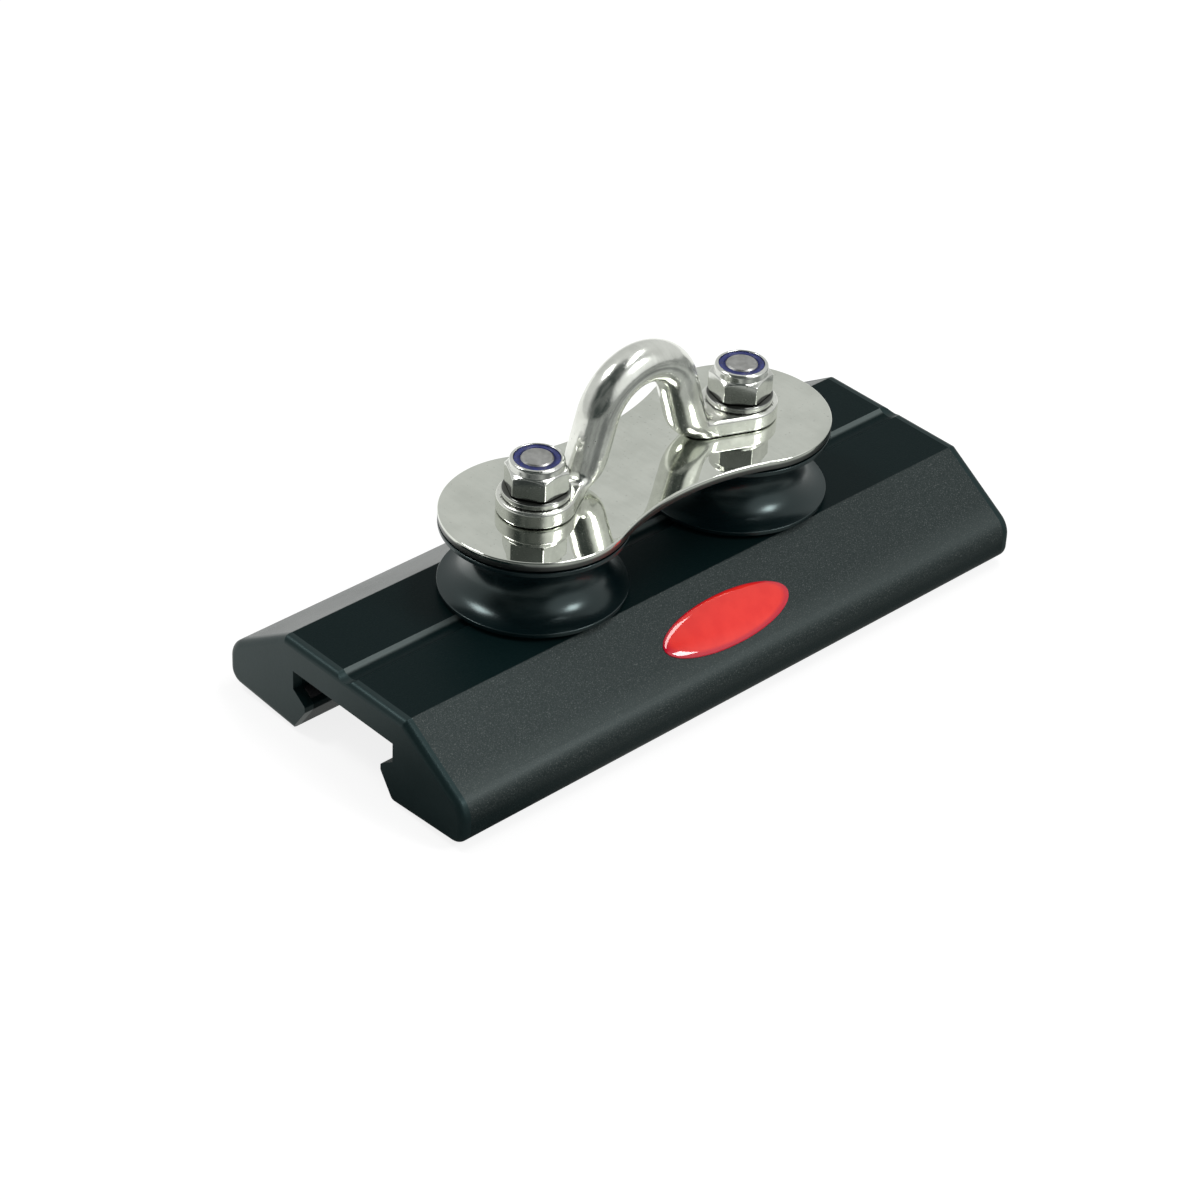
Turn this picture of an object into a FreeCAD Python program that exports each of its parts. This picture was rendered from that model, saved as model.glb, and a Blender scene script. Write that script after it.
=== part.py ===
# Mainsheet traveller car: a low anodised car body with a lipped channel below and a moulded cap on
# each end, two horizontal sheaves under a dog-bone plate, and a round-bar bow between the bolts.
# X runs along the car, Y across it and Z up. The origin is midway along the car, on its centre
# line, at the level of the lowest edges of the two skirts. Lengths are in millimetres.
import FreeCAD, Part
import math
import os
import re
import Sketcher

Vector = FreeCAD.Vector
Rotation = FreeCAD.Rotation
Placement = FreeCAD.Placement

doc = FreeCAD.newDocument("traveller_car")
sizes = doc.addObject("Spreadsheet::Sheet", "Sizes")

DIMENSIONS = [
    # Car body section
    ("body_length", 168.0, "length of the metal body between its end caps"),
    ("body_height", 23.8, "skirt edge to top face"),
    ("body_half", 40.0, "centre line to outer side"),
    ("top_half", 20.3, "centre line to shoulder"),
    ("foot_level", 11.1, "height where the slope meets the outer side"),
    ("foot_round", 6.0, "rounding below the slope"),
    ("skirt_rise", 1.4, "how far the outer edge of the skirt lifts"),
    ("skirt_round", 3.8, "rounding of the outer lower corner"),
    ("shoulder_round", 0.5, "rounding of the shoulder"),
    ("groove_width", 5.1, "width of the groove along the top"),
    ("groove_depth", 1.0, "depth of the groove along the top"),
    # Channel below
    ("roof_level", 16.2, "height of the channel roof"),
    ("channel_half", 17.0, "centre line to channel side"),
    ("lip_level", 11.3, "height where the channel side meets the lip"),
    ("nose_half", 13.0, "centre line to the nose of the lip"),
    ("nose_top", 8.5, "upper corner of the nose"),
    ("nose_base", 6.9, "lower corner of the nose"),
    ("nose_round", 0.7, "rounding of the nose"),
    ("mouth_half", 17.6, "centre line to the inner edge of the skirt"),
    # Slide rods in their lanes
    ("rod_radius", 2.5, "radius of a slide rod"),
    ("rod_fit", 0.05, "gap between rod and lane"),
    ("rod_play", 0.1, "gap between rod end and cap"),
    ("lane_half", 16.4, "centre line to lane axis"),
    ("upper_lane", 17.4, "height of the upper lane axis"),
    ("lower_lane", 8.4, "height of the lower lane axis"),
    # End caps
    ("cap_length", 2.5, "thickness of an end cap"),
    ("cap_round", 1.7, "rounding of its outer edge"),
    ("peg_radius", 2.5, "radius of a cap peg"),
    ("peg_length", 8.0, "length of a cap peg"),
    ("peg_fit", 0.02, "gap between peg and bore"),
    ("peg_room", 0.5, "room beyond the end of a peg"),
    ("peg_half", 27.5, "centre line to peg axis"),
    ("peg_level", 9.5, "height of the peg axis"),
    # Axle bolts
    ("bolt_spacing", 62.8, "distance between the two bolts"),
    ("bolt_radius", 4.0, "radius of a bolt"),
    ("bolt_hole", 4.1, "radius of a clearance hole"),
    ("head_radius", 7.9, "radius of the countersunk head"),
    ("head_rim", 0.6, "straight rim of the head"),
    ("head_inset", 0.3, "head below the channel roof"),
    ("head_gap", 0.05, "gap round the head"),
    ("socket_flats", 5.0, "hexagon socket across flats"),
    ("socket_depth", 3.0, "depth of the socket"),
    ("tip_stand", 0.1, "bolt tip above the nut"),
    ("tip_chamfer", 0.6, "chamfer of the bolt tip"),
    # Sheaves, spacers and bushes
    ("spacer_radius", 9.0, "outer radius of the spacer under a sheave"),
    ("spacer_height", 0.65, "thickness of that spacer"),
    ("bush_radius", 7.0, "outer radius of the bush"),
    ("bush_height", 17.95, "height of the bush"),
    ("sheave_fit", 0.05, "running gap between sheave and bush"),
    ("sheave_radius", 21.7, "outer radius of a sheave"),
    ("sheave_under", 0.3, "sheave above its spacer"),
    ("sheave_over", 0.4, "sheave below the plate"),
    ("rim_height", 1.1, "height of each rim"),
    ("line_depth", 7.2, "depth of the groove for the line"),
    ("line_floor", 4.6, "width of the floor of that groove"),
    # Top plate
    ("plate_height", 2.35, "thickness of the top plate"),
    ("plate_radius", 21.7, "radius of its round ends"),
    ("waist_half", 15.5, "centre line to the edge at its waist"),
    # Bow
    ("bow_shift", -1.5, "middle of the arch from the middle of the car"),
    ("bar_radius", 4.85, "radius of the round bar"),
    ("crown_radius", 12.75, "bend of the crown at the bar centre"),
    ("crown_rise", 13.1, "plate top to the centre of the crown bend"),
    ("splay", 17.0, "lean of each leg in degrees"),
    ("foot_radius", 5.0, "bend of the foot at the bar centre"),
    ("palm_height", 4.25, "thickness of a palm"),
    ("palm_radius", 9.0, "radius of a palm"),
    ("palm_chamfer", 0.8, "chamfer of the palm edge"),
    ("neck_half", 6.4, "half width of the neck in front of the washer"),
    ("neck_wide", 7.4, "half width of the neck inside the palm"),
    ("neck_step", 0.2, "step from the neck up to the faces of the palm"),
    ("neck_clear", 0.3, "flat of the neck in front of the washer"),
    ("neck_lap", 3.6, "how far the neck runs into the palm"),
    # Nuts and washers
    ("washer_radius", 7.8, "outer radius of a washer"),
    ("washer_height", 1.6, "thickness of a washer"),
    ("nut_flats", 13.0, "nut across flats"),
    ("nut_hex_height", 5.5, "height of the hexagon"),
    ("nut_chamfer", 0.9, "drop of the chamfer at the corners"),
    ("collar_radius", 6.25, "outer radius of the collar"),
    ("collar_height", 2.1, "height of the collar"),
    ("collar_chamfer", 0.8, "chamfer of the collar"),
    ("thread_fit", 0.03, "gap between nut and bolt"),
    ("insert_radius", 5.3, "outer radius of the nylon insert"),
    ("insert_height", 1.9, "height of the nylon insert"),
    ("insert_sunk", 0.3, "insert below the collar rim"),
    ("insert_fit", 0.03, "gap round the insert"),
    ("left_nut_turn", 2.4, "turn of the left nut in degrees"),
    ("right_nut_turn", 15.0, "turn of the right nut in degrees"),
    # Badge
    ("badge_length", 38.4, "length of the oval badge"),
    ("badge_width", 12.4, "width of the oval badge"),
    ("badge_height", 1.3, "thickness of the badge"),
    ("badge_chamfer", 0.6, "slant of its edge"),
    ("badge_drop", 12.3, "shoulder to badge centre, down the slope"),
]
# Heights that several pieces share, worked out from the sizes above
DERIVED = [
    ("body_end", "=body_length / 2"),
    ("bolt_x", "=bolt_spacing / 2"),
    ("groove_radius", "=(groove_width ^ 2 / 4 + groove_depth ^ 2) / (2 * groove_depth)"),
    ("slope_angle", "=atan((body_height - foot_level) / (body_half - top_half)) / 1 deg"),
    ("spacer_top", "=body_height + spacer_height"),
    ("plate_base", "=spacer_top + bush_height"),
    ("sheave_low", "=spacer_top + sheave_under"),
    ("sheave_high", "=plate_base - sheave_over"),
    ("plate_top", "=plate_base + plate_height"),
    ("palm_top", "=plate_top + palm_height"),
    ("washer_top", "=palm_top + washer_height"),
    ("hex_top", "=washer_top + nut_hex_height"),
    ("nut_top", "=hex_top + collar_height"),
    ("head_base", "=roof_level + head_inset"),
    ("waist_radius", "=(bolt_x ^ 2 + waist_half ^ 2 - plate_radius ^ 2) / (2 * (plate_radius - waist_half))"),
    ("crown_level", "=plate_top + crown_rise"),
    ("bend_level", "=plate_top + bar_radius + foot_radius"),
    ("leg_top_x", "=crown_radius * cos(splay)"),
    ("leg_top_z", "=crown_level + crown_radius * sin(splay)"),
    ("leg_low_z", "=bend_level - foot_radius * sin(splay)"),
    ("leg_low_x", "=leg_top_x + (leg_top_z - leg_low_z) * tan(splay)"),
    ("bend_x", "=leg_low_x + foot_radius * cos(splay)"),
]


def fill_sheet():
    row = 1
    for alias, number, note in DIMENSIONS:
        sizes.set("A%d" % row, alias)
        sizes.set("B%d" % row, str(number))
        sizes.set("C%d" % row, note)
        sizes.setAlias("B%d" % row, alias)
        row += 1
    for alias, formula in DERIVED:
        sizes.set("A%d" % row, alias)
        sizes.set("B%d" % row, formula)
        sizes.setAlias("B%d" % row, alias)
        row += 1
    doc.recompute()


fill_sheet()
ALIASES = {row[0] for row in DIMENSIONS + DERIVED}
PIECES = []


def full(rule):
    # A rule names sizes by their plain words
    return re.sub(r"[a-z_]+", lambda word: "Sizes." * (word.group() in ALIASES) + word.group(), rule)


def value(rule):
    return float(sizes.evalExpression(full(rule)))


def bind(item, prop, rule):
    item.setExpression(prop, full(rule))


def new_piece(name, x_rule="0"):
    body = doc.addObject("PartDesign::Body", name)
    body.Label = name
    bind(body, ".Placement.Base.x", x_rule)
    PIECES.append(body)
    return body


def origin_plane(body, role):
    return [plane for plane in body.Origin.OriginFeatures if plane.Role == role][0]


def new_sketch(body, name, role, x_rule="0", y_rule="0", z_rule="0", tilt_rule=None):
    # Sketch on an origin plane, moved along the plane's own axes and tilted about its first one
    sketch = body.newObject("Sketcher::SketchObject", name)
    sketch.AttachmentSupport = [(origin_plane(body, role), "")]
    sketch.MapMode = "FlatFace"
    if tilt_rule:
        tilt = Rotation(Vector(1, 0, 0), value(tilt_rule))
        sketch.AttachmentOffset = Placement(Vector(0, 0, 0), tilt)
        bind(sketch, ".AttachmentOffset.Rotation.Angle", tilt_rule)
    bind(sketch, ".AttachmentOffset.Base.x", x_rule)
    bind(sketch, ".AttachmentOffset.Base.y", y_rule)
    bind(sketch, ".AttachmentOffset.Base.z", z_rule)
    return sketch


def fix_point(sketch, item, end, across, up):
    for kind, rule, axis in (("DistanceX", across, -2), ("DistanceY", up, -1)):
        if rule == "0":
            sketch.addConstraint(Sketcher.Constraint("PointOnObject", item, end, axis))
        else:
            number = sketch.addConstraint(Sketcher.Constraint(kind, -1, 1, item, end, value(rule)))
            bind(sketch, "Constraints[%d]" % number, rule)


def draw_loop(sketch, points):
    # Closed outline: a corner is (across, up), and one that starts an arc adds (radius, side),
    # with side 1 when the arc's centre is on the left of the way round and -1 on the right
    spots = [Vector(value(point[0]), value(point[1]), 0) for point in points]
    count = len(points)
    ends = []
    for index, point in enumerate(points):
        start = spots[index]
        stop = spots[(index + 1) % count]
        if len(point) == 2:
            item = sketch.addGeometry(Part.LineSegment(start, stop), False)
            ends.append((item, 1, 2))
            continue
        radius = value(point[2])
        side = point[3]
        chord = stop - start
        normal = Vector(-chord.y, chord.x, 0).normalize()
        reach = math.sqrt(radius ** 2 - chord.Length ** 2 / 4)
        centre = (start + stop) * 0.5 + normal * (side * reach)
        first = math.atan2(start.y - centre.y, start.x - centre.x)
        last = math.atan2(stop.y - centre.y, stop.x - centre.x)
        if side < 0:
            first, last = last, first
        circle = Part.Circle(centre, Vector(0, 0, 1), radius)
        item = sketch.addGeometry(Part.ArcOfCircle(circle, first, last), False)
        ends.append((item, 1, 2) if side > 0 else (item, 2, 1))
        number = sketch.addConstraint(Sketcher.Constraint("Radius", item, radius))
        bind(sketch, "Constraints[%d]" % number, point[2])
    for index in range(count):
        item, _, tail = ends[index]
        follower, head, _ = ends[(index + 1) % count]
        sketch.addConstraint(Sketcher.Constraint("Coincident", item, tail, follower, head))
    for index, point in enumerate(points):
        item, head, _ = ends[index]
        fix_point(sketch, item, head, point[0], point[1])


def draw_circle(sketch, across, up, radius):
    centre = Vector(value(across), value(up), 0)
    circle = Part.Circle(centre, Vector(0, 0, 1), value(radius))
    item = sketch.addGeometry(circle, False)
    fix_point(sketch, item, 3, across, up)
    number = sketch.addConstraint(Sketcher.Constraint("Radius", item, value(radius)))
    bind(sketch, "Constraints[%d]" % number, radius)


def draw_oval(sketch, half_width, half_height):
    # Circle or ellipse about the sketch's origin, its long axis level
    if half_width == half_height:
        draw_circle(sketch, "0", "0", half_width)
        return
    oval = Part.Ellipse(Vector(0, 0, 0), value(half_width), value(half_height))
    item = sketch.addGeometry(oval, False)
    sketch.exposeInternalGeometry(item)
    sketch.addConstraint(Sketcher.Constraint("Coincident", item, 3, -1, 1))
    sketch.addConstraint(Sketcher.Constraint("Horizontal", item + 1))
    for line, rule in ((item + 1, half_width), (item + 2, half_height)):
        number = sketch.addConstraint(Sketcher.Constraint("Distance", line, 2 * value(rule)))
        bind(sketch, "Constraints[%d]" % number, "2 * (%s)" % rule)


def pad(body, sketch, length, symmetric=False, backwards=False):
    feature = body.newObject("PartDesign::Pad", sketch.Name + "_pad")
    feature.Profile = sketch
    bind(feature, "Length", length)
    feature.SideType = "Symmetric" if symmetric else "One side"
    feature.Reversed = backwards
    doc.recompute()
    return feature


def cut_through(body, sketch):
    feature = body.newObject("PartDesign::Pocket", sketch.Name + "_cut")
    feature.Profile = sketch
    feature.Type = "ThroughAll"
    feature.SideType = "Symmetric"
    doc.recompute()
    return feature


def cut_blind(body, sketch, depth, backwards=False):
    feature = body.newObject("PartDesign::Pocket", sketch.Name + "_cut")
    feature.Profile = sketch
    bind(feature, "Length", depth)
    feature.Reversed = backwards
    doc.recompute()
    return feature


def turn(body, sketch, kind="Revolution"):
    # Full turn of a sketch on the XZ plane about the upright axis
    feature = body.newObject("PartDesign::" + kind, sketch.Name + "_turn")
    feature.Profile = sketch
    feature.ReferenceAxis = (sketch, ["V_Axis"])
    feature.Angle = 360
    doc.recompute()
    return feature


def ease_edges(body, feature, kind, rule, test):
    # Fillet or chamfer of the edges that pass the test
    names = []
    for index, edge in enumerate(feature.Shape.Edges):
        if test(edge.BoundBox):
            names.append("Edge%d" % (index + 1))
    eased = body.newObject("PartDesign::" + kind, "%s_%s%d" % (body.Name, kind, len(body.Group)))
    eased.Base = (feature, names)
    bind(eased, "Radius" if kind == "Fillet" else "Size", rule)
    doc.recompute()
    return eased


def near(first, second):
    return abs(first - second) < 0.01


# The section that the car body and both end caps share
SECTION = [
    ("mouth_half", "0"),
    ("body_half", "skirt_rise"),
    ("body_half", "foot_level"),
    ("top_half", "body_height"),
    ("-top_half", "body_height"),
    ("-body_half", "foot_level"),
    ("-body_half", "skirt_rise"),
    ("-mouth_half", "0"),
    ("-nose_half", "nose_base"),
    ("-nose_half", "nose_top"),
    ("-channel_half", "lip_level"),
    ("-channel_half", "roof_level"),
    ("channel_half", "roof_level"),
    ("channel_half", "lip_level"),
    ("nose_half", "nose_top"),
    ("nose_half", "nose_base"),
]


def runs_at(box, side, level):
    # An edge along the car, at this distance from the centre line and this height
    flat = box.YLength < 0.01 and box.ZLength < 0.01
    return flat and near(abs(box.YMin), value(side)) and near(box.ZMin, value(level))


def ease_section(body, feature):
    feature = ease_edges(body, feature, "Fillet", "foot_round", lambda b: runs_at(b, "body_half", "foot_level"))
    feature = ease_edges(body, feature, "Fillet", "skirt_round", lambda b: runs_at(b, "body_half", "skirt_rise"))

    def on_nose(box):
        return runs_at(box, "nose_half", "nose_top") or runs_at(box, "nose_half", "nose_base")

    return ease_edges(body, feature, "Fillet", "nose_round", on_nose)


def cut_top_groove(body, name):
    sketch = new_sketch(body, name, "YZ_Plane")
    draw_circle(sketch, "0", "body_height - groove_depth + groove_radius", "groove_radius")
    return cut_through(body, sketch)


# Car body: one length of aluminium section with a lipped channel below and a groove along the top
def make_car_body():
    body = new_piece("car_body")
    section = new_sketch(body, "body_section", "YZ_Plane")
    draw_loop(section, SECTION)
    feature = pad(body, section, "body_length", symmetric=True)
    feature = ease_section(body, feature)
    feature = ease_edges(
        body, feature, "Fillet", "shoulder_round", lambda box: runs_at(box, "top_half", "body_height")
    )
    cut_top_groove(body, "top_groove")
    # Four lanes for the slide rods, open to the corners of the channel
    lanes = new_sketch(body, "rod_lanes", "YZ_Plane")
    for side in ("", "-"):
        draw_circle(lanes, side + "lane_half", "upper_lane", "rod_radius + rod_fit")
        draw_circle(lanes, side + "lane_half", "lower_lane", "rod_radius + rod_fit")
    cut_through(body, lanes)
    # Bores for the pegs of the end caps, made at one end and mirrored to the other
    bores = new_sketch(body, "peg_bores", "YZ_Plane", z_rule="body_end")
    for side in ("", "-"):
        draw_circle(bores, side + "peg_half", "peg_level", "peg_radius + peg_fit")
    bored = cut_blind(body, bores, "peg_length + peg_room")
    mirrored = body.newObject("PartDesign::Mirrored", "peg_bores_mirrored")
    mirrored.Originals = [bored]
    mirrored.MirrorPlane = (origin_plane(body, "YZ_Plane"), [""])
    body.Tip = mirrored
    doc.recompute()
    # Two bolt holes, countersunk from the channel roof
    spots = new_sketch(body, "bolt_spots", "XY_Plane", z_rule="roof_level")
    draw_circle(spots, "bolt_x", "0", "bolt_hole")
    draw_circle(spots, "-bolt_x", "0", "bolt_hole")
    doc.recompute()
    holes = body.newObject("PartDesign::Hole", "bolt_holes")
    holes.Profile = spots
    bind(holes, "Diameter", "2 * bolt_hole")
    holes.DepthType = "ThroughAll"
    holes.HoleCutType = "Countersink"
    holes.HoleCutCountersinkAngle = 90
    bind(holes, "HoleCutDiameter", "2 * (head_radius + head_inset + head_rim + head_gap * sqrt(2))")
    holes.Reversed = True
    doc.recompute()
    return body


# End cap: a moulding of the same section with a rounded outer edge and two pegs pressed into the body
def make_end_cap(name, side):
    sign = "" if side > 0 else "-"
    body = new_piece(name)
    section = new_sketch(body, name + "_section", "YZ_Plane", z_rule=sign + "body_end")
    draw_loop(section, SECTION)
    feature = pad(body, section, "cap_length", backwards=side < 0)
    feature = ease_section(body, feature)
    outer_face = side * value("body_end + cap_length")
    channel_top = value("roof_level")
    channel_side = value("mouth_half")

    def on_rim(box):
        at_face = near(box.XMin, outer_face) and near(box.XMax, outer_face)
        reach = max(abs(box.YMin), abs(box.YMax))
        return at_face and (box.ZMax > channel_top + 0.1 or reach > channel_side + 0.1)

    feature = ease_edges(body, feature, "Fillet", "cap_round", on_rim)

    def on_shoulder(box):
        return near(box.ZMax, value("body_height")) and runs_at(box, "top_half", "body_height")

    ease_edges(body, feature, "Fillet", "shoulder_round", on_shoulder)
    cut_top_groove(body, name + "_groove")
    pegs = new_sketch(body, name + "_pegs", "YZ_Plane", z_rule=sign + "body_end")
    for half in ("", "-"):
        draw_circle(pegs, half + "peg_half", "peg_level", "peg_radius")
    pad(body, pegs, "peg_length", backwards=side > 0)
    return body


# Slide rod: a round low-friction rod that runs the length of the body in a lane open to the channel
def make_slide_rod(name, side, level):
    rod = doc.addObject("Part::Cylinder", name)
    rod.Label = name
    bind(rod, "Radius", "rod_radius")
    bind(rod, "Height", "body_length - 2 * rod_play")
    rod.Placement = Placement(Vector(0, 0, 0), Rotation(Vector(0, 1, 0), 90))
    bind(rod, ".Placement.Base.x", "rod_play - body_end")
    bind(rod, ".Placement.Base.y", side + "lane_half")
    bind(rod, ".Placement.Base.z", level)
    PIECES.append(rod)
    return rod


# Axle bolt: countersunk head flush inside the channel, plain shank, chamfered tip level with the nut
def make_axle_bolt(name, x_rule):
    body = new_piece(name, x_rule)
    profile = new_sketch(body, name + "_profile", "XZ_Plane")
    draw_loop(profile, [
        ("0", "head_base"),
        ("head_radius", "head_base"),
        ("head_radius", "head_base + head_rim"),
        ("bolt_radius", "head_base + head_rim + head_radius - bolt_radius"),
        ("bolt_radius", "nut_top + tip_stand - tip_chamfer"),
        ("bolt_radius - tip_chamfer", "nut_top + tip_stand"),
        ("0", "nut_top + tip_stand"),
    ])
    turn(body, profile)
    socket = new_sketch(body, name + "_socket", "XY_Plane", z_rule="head_base")
    corner = "socket_flats / sqrt(3)"
    draw_loop(socket, hexagon(corner, "0"))
    cut_blind(body, socket, "socket_depth", backwards=True)
    return body


def hexagon(corner, turn_rule):
    corners = []
    for step in range(6):
        angle = "(%s + %d)" % (turn_rule, 60 * step)
        corners.append(("%s * cos(%s)" % (corner, angle), "%s * sin(%s)" % (corner, angle)))
    return corners


# Plain turned ring, for the spacers, bushes, washers and inserts
def make_ring(name, x_rule, inner, outer, base, top):
    body = new_piece(name, x_rule)
    profile = new_sketch(body, name + "_profile", "XZ_Plane")
    draw_loop(profile, [(inner, base), (outer, base), (outer, top), (inner, top)])
    turn(body, profile)
    return body


# Sheave: turned from one piece, with a deep groove for the line between two thin rims
def make_sheave(name, x_rule):
    body = new_piece(name, x_rule)
    profile = new_sketch(body, name + "_profile", "XZ_Plane")
    bore = "bush_radius + sheave_fit"
    floor = "sheave_radius - line_depth"
    draw_loop(profile, [
        (bore, "sheave_low"),
        ("sheave_radius", "sheave_low"),
        ("sheave_radius", "sheave_low + rim_height"),
        (floor, "(sheave_low + sheave_high - line_floor) / 2"),
        (floor, "(sheave_low + sheave_high + line_floor) / 2"),
        ("sheave_radius", "sheave_high - rim_height"),
        ("sheave_radius", "sheave_high"),
        (bore, "sheave_high"),
    ])
    turn(body, profile)
    return body


# Top plate: dog-bone outline, two round ends joined by a waist that is tangent to both
def make_top_plate():
    body = new_piece("top_plate")
    outline = new_sketch(body, "plate_outline", "XY_Plane", z_rule="plate_base")
    meet_x = "(bolt_x - plate_radius * bolt_x / (plate_radius + waist_radius))"
    meet_y = "plate_radius * (waist_half + waist_radius) / (plate_radius + waist_radius)"
    draw_loop(outline, [
        ("bolt_x + plate_radius", "0", "plate_radius", 1),
        (meet_x, meet_y, "waist_radius", -1),
        ("-" + meet_x, meet_y, "plate_radius", 1),
        ("-bolt_x - plate_radius", "0", "plate_radius", 1),
        ("-" + meet_x, "-" + meet_y, "waist_radius", -1),
        (meet_x, "-" + meet_y, "plate_radius", 1),
    ])
    pad(body, outline, "plate_height")
    holes = new_sketch(body, "plate_holes", "XY_Plane")
    draw_circle(holes, "bolt_x", "0", "bolt_hole")
    draw_circle(holes, "-bolt_x", "0", "bolt_hole")
    cut_through(body, holes)
    return body


# Bow: a round bar bent into an arch, with both feet forged flat into palms that the bolts pass through
def make_bow():
    body = new_piece("bow", "bow_shift")
    bar = new_sketch(body, "bow_bar", "YZ_Plane")
    draw_circle(bar, "0", "crown_level + crown_radius", "bar_radius")
    # Half of the bar's centre line: the crown's arc, the leg and the foot's arc, each tangent to the next
    path = new_sketch(body, "bow_path", "XZ_Plane")
    splay = math.radians(value("splay"))
    crown = Part.Circle(Vector(0, value("crown_level"), 0), Vector(0, 0, 1), value("crown_radius"))
    arc = path.addGeometry(Part.ArcOfCircle(crown, splay, math.pi / 2), False)
    leg_top = Vector(value("leg_top_x"), value("leg_top_z"), 0)
    leg_low = Vector(value("leg_low_x"), value("leg_low_z"), 0)
    leg = path.addGeometry(Part.LineSegment(leg_top, leg_low), False)
    bend = Part.Circle(Vector(value("bend_x"), value("bend_level"), 0), Vector(0, 0, 1), value("foot_radius"))
    foot_arc = path.addGeometry(Part.ArcOfCircle(bend, math.pi + splay, 3 * math.pi / 2), False)
    path.addConstraint(Sketcher.Constraint("Coincident", arc, 1, leg, 1))
    path.addConstraint(Sketcher.Constraint("Coincident", leg, 2, foot_arc, 1))
    fix_point(path, arc, 2, "0", "crown_level + crown_radius")
    fix_point(path, leg, 1, "leg_top_x", "leg_top_z")
    fix_point(path, leg, 2, "leg_low_x", "leg_low_z")
    fix_point(path, foot_arc, 2, "bend_x", "bend_level - foot_radius")
    for item, rule in ((arc, "crown_radius"), (foot_arc, "foot_radius")):
        number = path.addConstraint(Sketcher.Constraint("Radius", item, value(rule)))
        bind(path, "Constraints[%d]" % number, rule)
    doc.recompute()
    swept = body.newObject("PartDesign::AdditivePipe", "bow_arch")
    swept.Profile = bar
    swept.Spine = (path, ["Edge1", "Edge2", "Edge3"])
    doc.recompute()
    mirrored = body.newObject("PartDesign::Mirrored", "bow_mirrored")
    mirrored.Originals = [swept]
    mirrored.MirrorPlane = (origin_plane(body, "YZ_Plane"), [""])
    body.Tip = mirrored
    doc.recompute()
    make_foot(body, "left", "-")
    make_foot(body, "right", "")
    holes = new_sketch(body, "palm_holes", "XY_Plane")
    draw_circle(holes, "bolt_x - bow_shift", "0", "bolt_hole")
    draw_circle(holes, "-bolt_x - bow_shift", "0", "bolt_hole")
    cut_through(body, holes)
    return body


def make_foot(body, end, side):
    # The neck flattens and widens from the round bar in front of the washer, then runs into the palm
    round_end = new_sketch(body, "neck_round_" + end, "YZ_Plane", y_rule="plate_top + bar_radius", z_rule=side + "bend_x")
    draw_circle(round_end, "0", "0", "bar_radius")
    middle = "palm_height / 2"
    flats = []
    for name, reach, half_width in (
        ("neck_flat_", "(bolt_x - washer_radius - neck_clear) - bow_shift", "neck_half"),
        ("neck_end_", "(bolt_x - palm_radius + neck_lap) - bow_shift", "neck_wide"),
    ):
        section = new_sketch(body, name + end, "YZ_Plane", y_rule="plate_top + " + middle, z_rule=side + reach)
        draw_oval(section, half_width, middle + " - neck_step")
        flats.append(section)
    doc.recompute()
    neck = body.newObject("PartDesign::AdditiveLoft", "bow_neck_" + end)
    neck.Profile = round_end
    neck.Sections = flats
    neck.Ruled = True
    doc.recompute()
    # The palm: a round eye with a bevelled edge
    eye = new_sketch(body, "palm_profile_" + end, "XZ_Plane", x_rule=side + "bolt_x - bow_shift")
    draw_loop(eye, [
        ("0", "plate_top"),
        ("palm_radius - palm_chamfer", "plate_top"),
        ("palm_radius", "plate_top + palm_chamfer"),
        ("palm_radius", "palm_top - palm_chamfer"),
        ("palm_radius - palm_chamfer", "palm_top"),
        ("0", "palm_top"),
    ])
    turn(body, eye)


# Lock nut: chamfered hexagon with a rounded collar above it, open at the top for the nylon insert
def make_lock_nut(name, x_rule, turn_rule):
    body = new_piece(name, x_rule)
    outline = new_sketch(body, name + "_hexagon", "XY_Plane", z_rule="washer_top")
    draw_loop(outline, hexagon("nut_flats / sqrt(3)", turn_rule))
    pad(body, outline, "nut_hex_height")
    # The corners are turned away by a cone above and below
    reach = "nut_flats / sqrt(3) + 1"
    slope = "(%s - nut_flats / 2) * nut_chamfer / (nut_flats / sqrt(3) - nut_flats / 2)" % reach
    corners = new_sketch(body, name + "_chamfers", "XZ_Plane")
    draw_loop(corners, [
        ("nut_flats / 2", "hex_top"),
        (reach, "hex_top - " + slope),
        (reach, "hex_top + 1"),
        ("nut_flats / 2", "hex_top + 1"),
    ])
    turn(body, corners, "Groove")
    collar = new_sketch(body, name + "_collar", "XZ_Plane")
    draw_loop(collar, [
        ("bolt_radius + thread_fit", "hex_top"),
        ("collar_radius", "hex_top"),
        ("collar_radius", "nut_top - collar_chamfer"),
        ("collar_radius - collar_chamfer", "nut_top"),
        ("bolt_radius + thread_fit", "nut_top"),
    ])
    turn(body, collar)
    bore = new_sketch(body, name + "_bore", "XY_Plane")
    draw_circle(bore, "0", "0", "bolt_radius + thread_fit")
    cut_through(body, bore)
    seat = new_sketch(body, name + "_seat", "XY_Plane", z_rule="nut_top")
    draw_circle(seat, "0", "0", "insert_radius + insert_fit")
    cut_blind(body, seat, "insert_sunk + insert_height")
    return body


# Badge: a plain oval of cast resin with a slanted edge, stuck flat to the sloped side
def make_badge():
    badge = new_piece("badge")
    badge.Placement = Placement(Vector(0, 0, 0), Rotation(Vector(1, 0, 0), value("slope_angle")))
    bind(badge, ".Placement.Rotation.Angle", "slope_angle")
    bind(badge, ".Placement.Base.y", "-top_half - badge_drop * cos(slope_angle)")
    bind(badge, ".Placement.Base.z", "body_height - badge_drop * sin(slope_angle)")
    outline = new_sketch(badge, "badge_outline", "XY_Plane")
    draw_oval(outline, "badge_length / 2", "badge_width / 2")
    feature = pad(badge, outline, "badge_height")
    top = value("badge_height")
    ease_edges(badge, feature, "Chamfer", "badge_chamfer", lambda box: near(box.ZMin, top))
    return badge


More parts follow.
